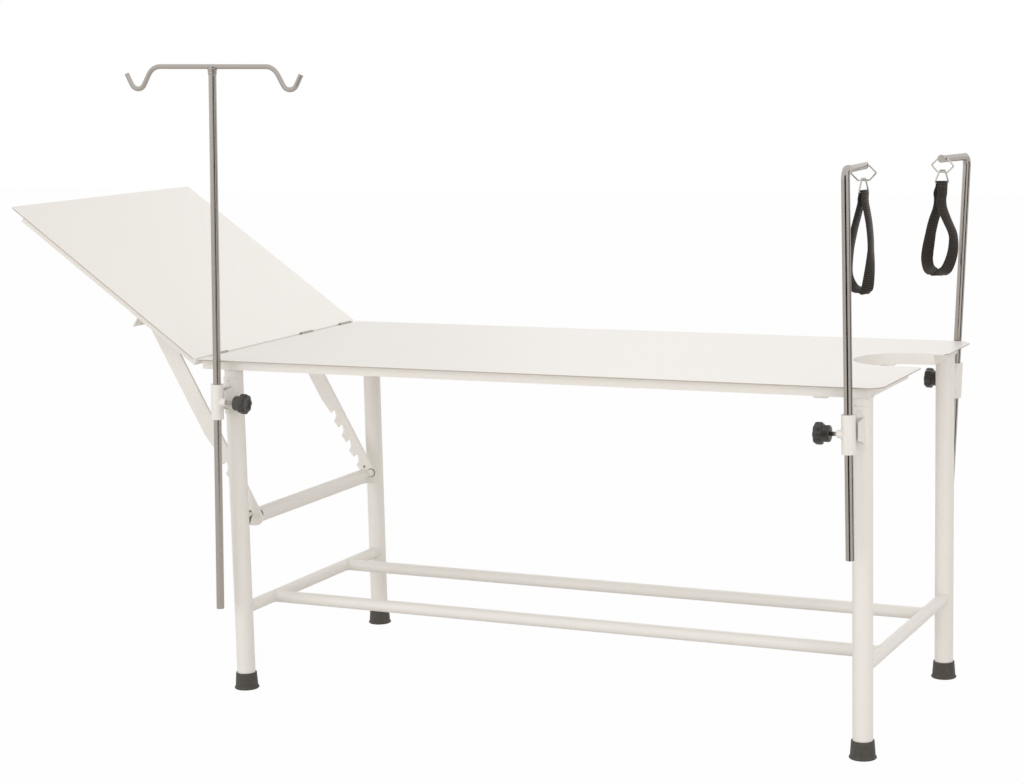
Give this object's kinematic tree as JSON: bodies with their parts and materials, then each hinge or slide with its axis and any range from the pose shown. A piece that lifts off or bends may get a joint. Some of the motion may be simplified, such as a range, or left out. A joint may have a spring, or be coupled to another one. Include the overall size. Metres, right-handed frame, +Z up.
{
  "type": "gynaecological examination table",
  "caption": "Steel-tube examination table with hinged back section on notched racks, seat cutout, drip pole with hooks and lithotomy poles with webbing foot straps.",
  "frame": {"origin": "on the floor, below the middle of the whole outline with the back section raised", "axes": "+X from the head end to the foot end, +Y from the side with the drip pole to the other side, +Z up"},
  "size_m": [1.8967, 0.7418, 1.301],
  "materials": {
    "powder_coat": "satin powder coat",
    "polished_steel": "polished along the rod",
    "wire_steel": "bright plated wire",
    "zinc_fasteners": "zinc plated",
    "knob_plastic": "moulded, slightly grained",
    "rubber": "matt moulded",
    "webbing": "woven webbing"
  },
  "bodies": {
    "frame": {"bracket_drip": "powder_coat", "bracket_far": "powder_coat", "bracket_near": "powder_coat", "bracket_screws": "zinc_fasteners", "cutout_rim": "powder_coat", "fixed_top_sheet": "powder_coat", "foot_rail": "powder_coat", "head_rail": "powder_coat", "hinge_fixed_knuckles": "zinc_fasteners", "hinge_pins": "zinc_fasteners", "leg_far_foot": "powder_coat", "leg_far_head": "powder_coat", "leg_near_foot": "powder_coat", "leg_near_head": "powder_coat", "mid_rail_1": "powder_coat", "mid_rail_2": "powder_coat", "rest_pins": "powder_coat", "rim_braces": "powder_coat", "rubber_foot_far_foot": "rubber", "rubber_foot_far_head": "rubber", "rubber_foot_near_foot": "rubber", "rubber_foot_near_head": "rubber", "side_rail_far": "powder_coat", "side_rail_near": "powder_coat", "sleeve_drip": "powder_coat", "sleeve_far": "powder_coat", "sleeve_near": "powder_coat", "stretcher_far": "powder_coat", "stretcher_foot": "powder_coat", "stretcher_head": "powder_coat", "stretcher_near": "powder_coat"},
    "back_section": {"back_hinge_rail": "powder_coat", "back_rail_far": "powder_coat", "back_rail_near": "powder_coat", "back_sheet": "powder_coat", "back_top_rail": "powder_coat", "hinge_moving_knuckles": "zinc_fasteners", "rack_angle": "powder_coat", "rack_lugs": "powder_coat", "rack_pivot_bolts": "zinc_fasteners"},
    "prop": {"rack_near": "powder_coat", "rack_far": "powder_coat", "grip_tube": "powder_coat", "rack_end_bolts": "zinc_fasteners"},
    "drip_pole": {"drip_rod": "polished_steel", "drip_hook_bar": "polished_steel"},
    "litho_near": {"litho_pole_near": "polished_steel"},
    "litho_far": {"litho_pole_far": "polished_steel"},
    "link_near": {"snap_link_near": "wire_steel"},
    "link_far": {"snap_link_far": "wire_steel"},
    "strap_near": {"strap_dee_near": "wire_steel", "foot_strap_near": "webbing"},
    "strap_far": {"strap_dee_far": "wire_steel", "foot_strap_far": "webbing"},
    "knob_drip": {"clamp_knob_drip": "knob_plastic"},
    "knob_near": {"clamp_knob_near": "knob_plastic"},
    "knob_far": {"clamp_knob_far": "knob_plastic"}
  },
  "joints": [
    {"name": "back_hinge", "type": "hinge", "parent": "frame", "child": "back_section", "pos_m": [-0.50154, 0, 0.699], "axis": [0, 1, 0], "range_deg": [-35, 0]},
    {"name": "prop_pivot", "type": "hinge", "parent": "back_section", "child": "prop", "pos_m": [-0.64416, 0, 0.74637], "axis": [0, 1, 0], "range_deg": [0, 28]},
    {"name": "drip_slide", "type": "slide", "parent": "frame", "child": "drip_pole", "axis": [0.0332, 0, 0.9995], "range_m": [-0.17, 0.33]},
    {"name": "litho_slide_near", "type": "slide", "parent": "frame", "child": "litho_near", "axis": [-0.0105, 0, 0.9999], "range_m": [-0.12, 0.15]},
    {"name": "litho_slide_far", "type": "slide", "parent": "frame", "child": "litho_far", "axis": [0.0471, 0, 0.9989], "range_m": [-0.12, 0.15]},
    {"name": "link_swing_near", "type": "hinge", "parent": "litho_near", "child": "link_near", "pos_m": [0.88296, -0.23302, 1.09025], "axis": [0.9998, 0.0175, 0.0105], "range_deg": [-7, 35]},
    {"name": "link_swing_far", "type": "hinge", "parent": "litho_far", "child": "link_far", "pos_m": [0.90685, 0.23478, 1.07775], "axis": [0.9837, -0.1736, -0.0464], "range_deg": [-35, 7]},
    {"name": "strap_swing_near", "type": "hinge", "parent": "link_near", "child": "strap_near", "pos_m": [0.88323, -0.23302, 1.06425], "axis": [0.9998, 0.0175, 0.0105], "range_deg": [-7, 25]},
    {"name": "strap_swing_far", "type": "hinge", "parent": "link_far", "child": "strap_far", "pos_m": [0.90562, 0.23478, 1.05177], "axis": [0.9837, -0.1736, -0.0464], "range_deg": [-25, 7]},
    {"name": "knob_turn_drip", "type": "hinge", "parent": "frame", "child": "knob_drip", "pos_m": [-0.44204, -0.35, 0.617], "axis": [0.9995, 0, -0.0332], "continuous": true},
    {"name": "knob_turn_near", "type": "hinge", "parent": "frame", "child": "knob_near", "pos_m": [0.88996, -0.35, 0.617], "axis": [-0.9999, 0, -0.0105], "continuous": true},
    {"name": "knob_turn_far", "type": "hinge", "parent": "frame", "child": "knob_far", "pos_m": [0.90546, 0.35, 0.617], "axis": [-0.9989, 0, 0.0471], "continuous": true}
  ],
  "couplings": [
    {"joint": "prop_pivot", "follows": "back_hinge", "ratio": -0.79}
  ]
}
